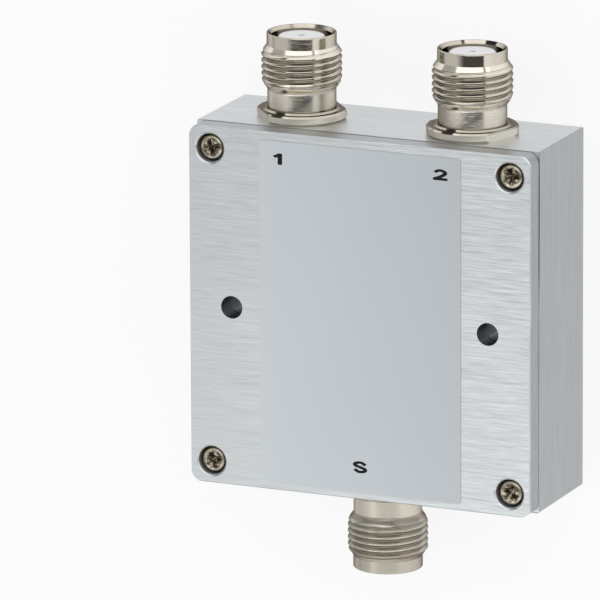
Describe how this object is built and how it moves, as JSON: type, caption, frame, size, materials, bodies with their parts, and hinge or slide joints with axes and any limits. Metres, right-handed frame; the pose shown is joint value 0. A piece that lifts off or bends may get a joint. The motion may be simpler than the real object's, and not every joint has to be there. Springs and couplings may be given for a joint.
{
  "type": "rf power splitter",
  "caption": "Coaxial RF power splitter: square milled aluminium case with a screwed cover, a common port below, two output ports on top and mounting holes through it.",
  "frame": {"origin": "middle of the flat mounting face, on the surface that the part lies on", "axes": "+X to the right seen from the cover, +Y from the common port up to the two output ports, +Z from the mounting face out of the cover"},
  "size_m": [0.0508, 0.0748, 0.0192],
  "materials": {
    "case": "brushed",
    "label": "satin",
    "nickel": "polished nickel plate",
    "screw": "plated",
    "fluoropolymer": "smooth",
    "gold": "plated",
    "board": "smooth",
    "foil": "satin copper",
    "resistor": "matte",
    "solder": "satin"
  },
  "bodies": {
    "root": {"board_screw_1": "screw", "board_screw_2": "screw", "board_screw_3": "screw", "board_screw_4": "screw", "circuit_board": "board", "contact_1": "gold", "contact_2": "gold", "contact_s": "gold", "copper_pattern": "foil", "cover_plate": "case", "cover_screw_bottom_left": "screw", "cover_screw_bottom_right": "screw", "cover_screw_top_left": "screw", "cover_screw_top_right": "screw", "front_insulator_1": "fluoropolymer", "front_insulator_2": "fluoropolymer", "front_insulator_s": "fluoropolymer", "ground_plane": "foil", "housing": "case", "isolation_resistor": "resistor", "label": "label", "rear_insulator_1": "fluoropolymer", "rear_insulator_2": "fluoropolymer", "rear_insulator_s": "fluoropolymer", "shell_1": "nickel", "shell_2": "nickel", "shell_s": "nickel", "solder_joint_1": "solder", "solder_joint_2": "solder", "solder_joint_s": "solder"}
  },
  "joints": []
}
